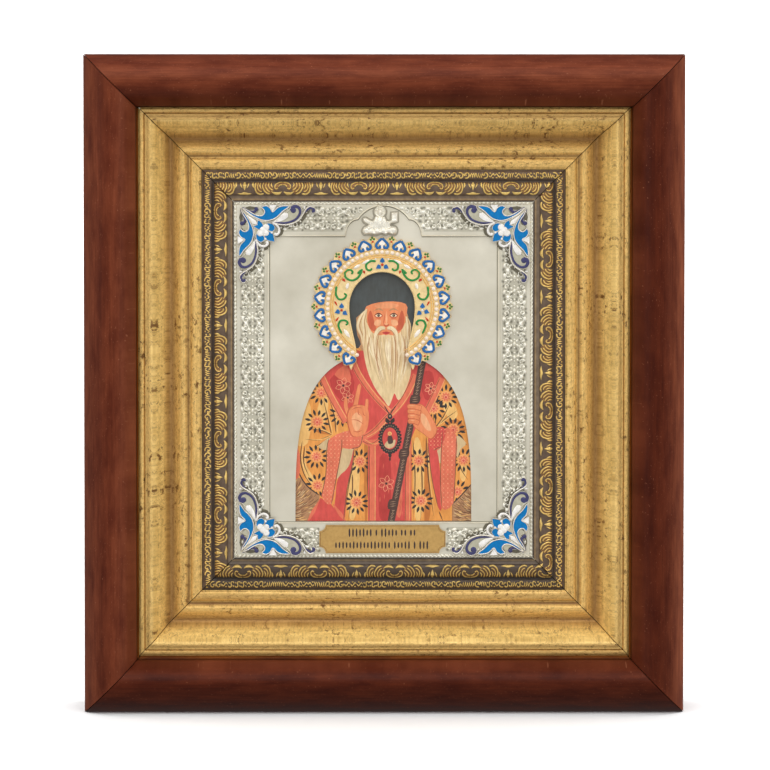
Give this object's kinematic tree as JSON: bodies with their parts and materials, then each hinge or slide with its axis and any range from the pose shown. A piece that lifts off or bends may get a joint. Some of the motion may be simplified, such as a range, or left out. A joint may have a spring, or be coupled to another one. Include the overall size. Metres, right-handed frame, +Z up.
{
  "type": "icon panel",
  "caption": "Framed icon: painted board under a silvered cover with enamelled halo and corners, in mitred wood, gilt and ornamented mouldings, standing or hung.",
  "frame": {"origin": "middle of the underside, at mid depth", "axes": "+Z up along the panel's height, +X to the right seen from the front, the front faces -Y"},
  "size_m": [0.242, 0.038, 0.2655],
  "materials": {
    "mahogany": "mahogany-stained hardwood under satin lacquer",
    "gilding": "antiqued metal leaf over gesso on a wooden moulding",
    "slip": "dark patinated moulding with pressed ornament in worn gold",
    "hardboard": "bare brown hardboard",
    "icon_paint": "painted picture on a prepared board, matt varnish",
    "zinc_plate": "zinc-plated pressed steel",
    "silver": "silvered metal with a satin field and chased borders",
    "gilt_enamel": "gilded metal with coloured enamel",
    "blue_enamel": "silvered cells filled with blue and white enamel",
    "gilt_plate": "satin gilded plate with a dark etched line"
  },
  "bodies": {
    "root": {"frame_rail_bottom": "mahogany", "frame_rail_right": "mahogany", "frame_rail_top": "mahogany", "frame_rail_left": "mahogany", "gilt_rail_bottom": "gilding", "gilt_rail_right": "gilding", "gilt_rail_top": "gilding", "gilt_rail_left": "gilding", "slip_rail_bottom": "slip", "slip_rail_right": "slip", "slip_rail_top": "slip", "slip_rail_left": "slip", "back_board": "hardboard", "icon_board": "icon_paint", "hanging_plate": "zinc_plate", "silver_cover": "silver", "halo": "gilt_enamel", "corner_top_left": "blue_enamel", "corner_top_right": "blue_enamel", "corner_bottom_left": "blue_enamel", "corner_bottom_right": "blue_enamel", "cast_figure": "silver", "name_plate": "gilt_plate"}
  },
  "joints": []
}
